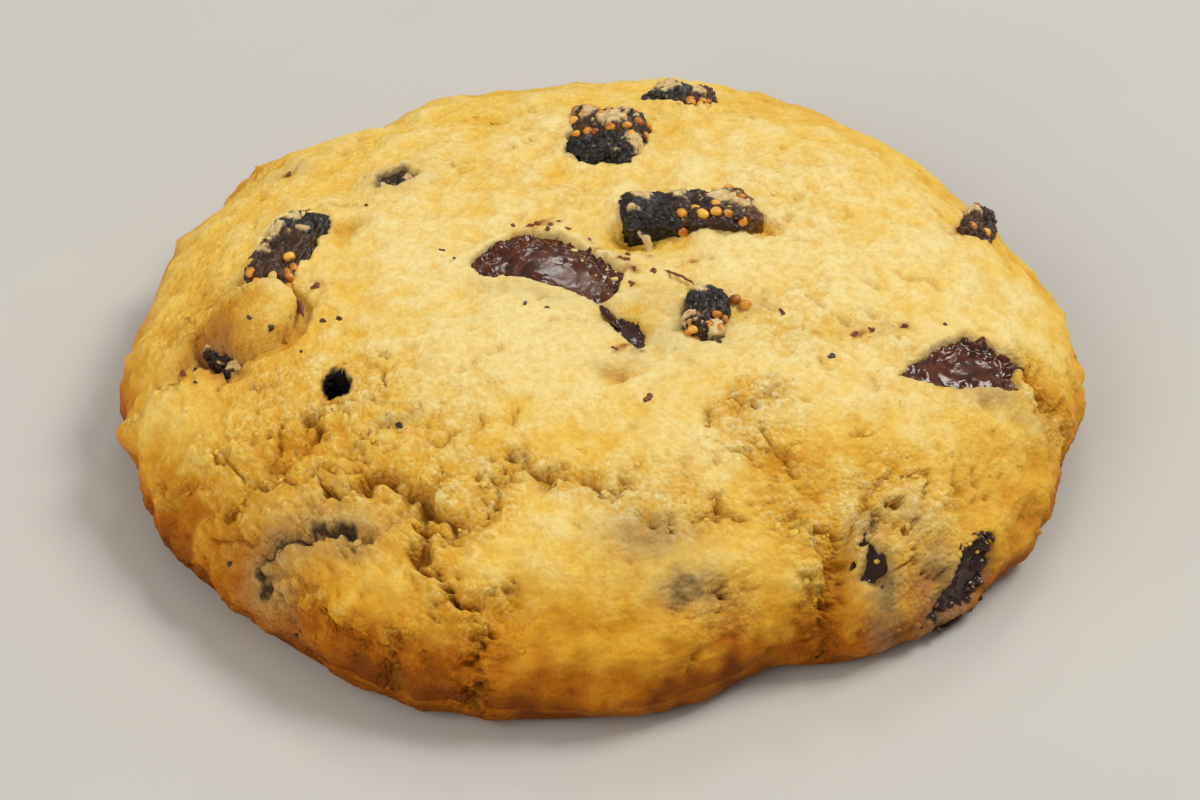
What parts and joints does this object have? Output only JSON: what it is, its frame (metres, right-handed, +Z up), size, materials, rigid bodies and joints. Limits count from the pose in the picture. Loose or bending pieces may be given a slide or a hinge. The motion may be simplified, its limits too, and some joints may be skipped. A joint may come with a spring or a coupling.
{
  "type": "chocolate chip cookie",
  "caption": "Round soft chocolate chip cookie with a cracked golden crust, melted chocolate chunks and chopped dried fig set into its top.",
  "frame": {"origin": "on the surface that the cookie lies on, under the middle of its outline", "axes": "+Z up out of the domed top, -Y towards the most cracked side of the rim, +X to the right of it"},
  "size_m": [0.091, 0.0908, 0.0195],
  "materials": {
    "dough": "matt, crumbly baked dough",
    "chocolate": "glossy melted chocolate",
    "fig": "dull wrinkled dried fruit skin"
  },
  "bodies": {
    "root": {"cookie_dough": "dough", "chocolate_centre": "chocolate", "chocolate_chip": "chocolate", "chocolate_right": "chocolate", "chocolate_rim": "chocolate", "chocolate_slit": "chocolate", "fig_centre": "fig", "fig_block": "fig", "fig_back": "fig", "fig_back_rim": "fig", "fig_left": "fig", "fig_right_rim": "fig", "fig_back_left": "fig", "fig_under_knob": "fig"}
  },
  "joints": []
}
